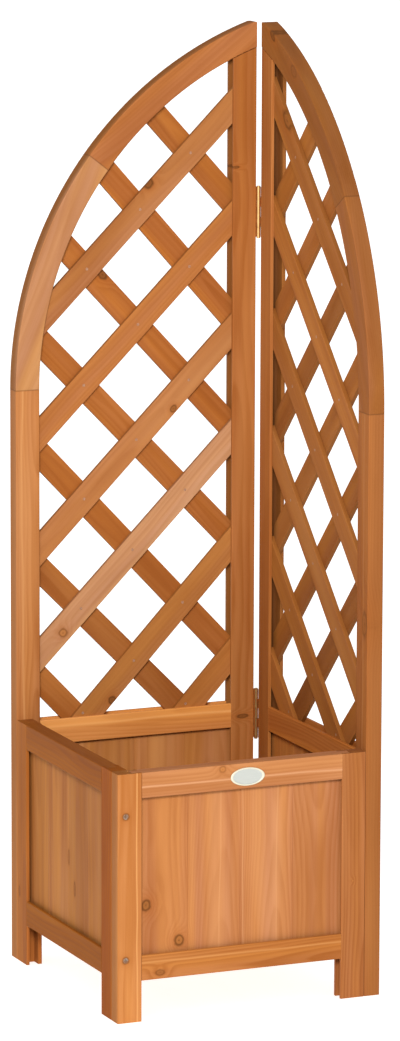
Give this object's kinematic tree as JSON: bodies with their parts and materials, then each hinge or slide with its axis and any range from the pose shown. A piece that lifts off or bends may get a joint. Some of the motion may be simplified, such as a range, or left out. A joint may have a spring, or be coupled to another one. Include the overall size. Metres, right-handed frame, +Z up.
{
  "type": "corner planter with arched trellis",
  "caption": "Square wooden planter box on short legs whose back and right walls rise into arched diagonal lattice panels, hinged together at the rear corner.",
  "frame": {"origin": "bottom centre of the whole object's box, on the ground", "axes": "+Z up, +X to the right along the front, +Y from the front wall to the rear trellis"},
  "size_m": [0.42, 0.4214, 1.408],
  "materials": {
    "frame_wood": "orange-brown stained softwood, satin",
    "board_wood": "orange-brown stained softwood, satin",
    "lattice_wood": "orange-brown stained softwood, satin",
    "floor_wood": "orange-brown stained softwood, rough",
    "dowel_wood": "bare hardwood",
    "hinge_brass": "plain brass",
    "screw_steel": "zinc plated",
    "badge_metal": "satin, blank"
  },
  "bodies": {
    "box": {"badge_plate": "badge_metal", "box_corner_screws": "screw_steel", "floor_cleat_screws": "screw_steel", "floor_front_cleat": "floor_wood", "floor_nails": "screw_steel", "floor_rear_cleat": "floor_wood", "floor_slats": "floor_wood", "front_boards": "board_wood", "front_bottom_rail": "frame_wood", "front_left_stile": "frame_wood", "front_right_stile": "frame_wood", "front_top_rail": "frame_wood", "hinge_pins": "hinge_brass", "hinge_rear_leaves": "hinge_brass", "hinge_rear_screws": "screw_steel", "left_back_stile": "frame_wood", "left_boards": "board_wood", "left_bottom_rail": "frame_wood", "left_front_stile": "frame_wood", "left_top_rail": "frame_wood", "rear_arch_dowels": "dowel_wood", "rear_arch_lower": "frame_wood", "rear_arch_upper": "frame_wood", "rear_boards": "board_wood", "rear_bottom_rail": "frame_wood", "rear_falling_slats": "lattice_wood", "rear_hinge_post": "frame_wood", "rear_lattice_nails": "screw_steel", "rear_mid_rail": "frame_wood", "rear_outer_post": "frame_wood", "rear_rising_slat_1": "lattice_wood", "rear_rising_slat_2": "lattice_wood", "rear_rising_slat_3": "lattice_wood", "rear_rising_slat_4": "lattice_wood", "rear_rising_slat_5": "lattice_wood", "rear_rising_slat_6": "lattice_wood"},
    "wing": {"hinge_wing_leaves": "hinge_brass", "hinge_wing_screws": "screw_steel", "wing_arch_dowels": "dowel_wood", "wing_arch_lower": "frame_wood", "wing_arch_upper": "frame_wood", "wing_boards": "board_wood", "wing_bottom_rail": "frame_wood", "wing_corner_screws": "screw_steel", "wing_falling_slats": "lattice_wood", "wing_hinge_post": "frame_wood", "wing_lattice_nails": "screw_steel", "wing_mid_rail": "frame_wood", "wing_outer_post": "frame_wood", "wing_rising_slat_1": "lattice_wood", "wing_rising_slat_2": "lattice_wood", "wing_rising_slat_3": "lattice_wood", "wing_rising_slat_4": "lattice_wood", "wing_rising_slat_5": "lattice_wood", "wing_rising_slat_6": "lattice_wood"}
  },
  "joints": [
    {"name": "wing_hinge", "type": "hinge", "parent": "box", "child": "wing", "pos_m": [0.1825, 0.18325, 0.349], "axis": [0, 0, 1], "range_deg": [0, 90]}
  ]
}
